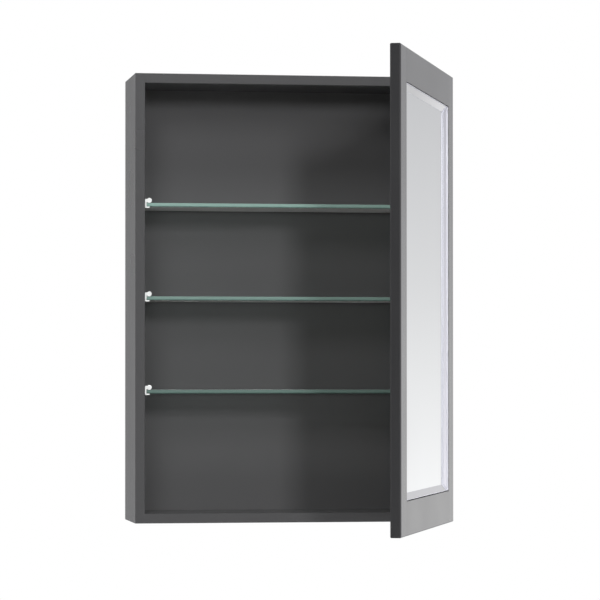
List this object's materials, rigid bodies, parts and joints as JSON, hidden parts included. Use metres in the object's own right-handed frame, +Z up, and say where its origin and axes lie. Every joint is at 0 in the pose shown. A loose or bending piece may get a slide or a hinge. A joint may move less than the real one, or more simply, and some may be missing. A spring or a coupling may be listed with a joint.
{
  "type": "bathroom mirror cabinet",
  "caption": "Shallow wall cabinet with a framed mirror door on concealed hinges, opening over glass shelves held by clear clips.",
  "frame": {"origin": "middle of the back, which lies against the wall, at its bottom edge", "axes": "+Z up; the cabinet's front faces -Y; +X towards the hinged side of the door"},
  "size_m": [0.5021, 0.6181, 0.7],
  "materials": {
    "lacquer": "satin anthracite lacquer over fibreboard",
    "raw_board": "raw",
    "steel": "nickel plated",
    "screw_steel": "zinc plated",
    "clear_plastic": "clear moulded",
    "shelf_glass": "polished float glass",
    "mirror": "silvered, bevelled"
  },
  "bodies": {
    "carcass": {"left_side": "lacquer", "right_side": "lacquer", "top_panel": "lacquer", "bottom_panel": "lacquer", "back_panel": "lacquer", "carcass_dowels": "raw_board", "hanging_rail": "raw_board", "hanging_plates": "steel", "hanging_screws": "screw_steel", "upper_shelf": "shelf_glass", "middle_shelf": "shelf_glass", "lower_shelf": "shelf_glass", "upper_shelf_clips": "clear_plastic", "middle_shelf_clips": "clear_plastic", "lower_shelf_clips": "clear_plastic", "upper_mounting_plate": "steel", "lower_mounting_plate": "steel", "plate_screws": "screw_steel", "upper_hinge_arm": "steel", "lower_hinge_arm": "steel", "arm_screws": "screw_steel", "arm_pins": "screw_steel", "upper_inner_link": "steel", "lower_inner_link": "steel"},
    "outer_links": {"upper_outer_link": "steel", "lower_outer_link": "steel"},
    "door": {"upper_hinge_cup": "steel", "lower_hinge_cup": "steel", "cup_pins": "screw_steel", "cup_screws": "screw_steel", "hinge_stile": "lacquer", "free_stile": "lacquer", "top_rail": "lacquer", "bottom_rail": "lacquer", "door_dowels": "raw_board", "mirror": "mirror", "bevel_strips": "mirror", "backing_board": "raw_board", "retaining_beads": "lacquer", "bumper_pads": "clear_plastic"}
  },
  "joints": [
    {"name": "door_hinge", "type": "hinge", "parent": "carcass", "child": "door", "pos_m": [0.2425, -0.156, 0.35], "axis": [0, 0, 1], "range_deg": [-69, 31]},
    {"name": "outer_link_pivot", "type": "hinge", "parent": "carcass", "child": "outer_links", "pos_m": [0.211, -0.138, 0.35], "axis": [0, 0, 1], "range_deg": [-6, 12]}
  ],
  "couplings": [
    {"joint": "outer_link_pivot", "follows": "door_hinge", "ratio": -0.155}
  ]
}
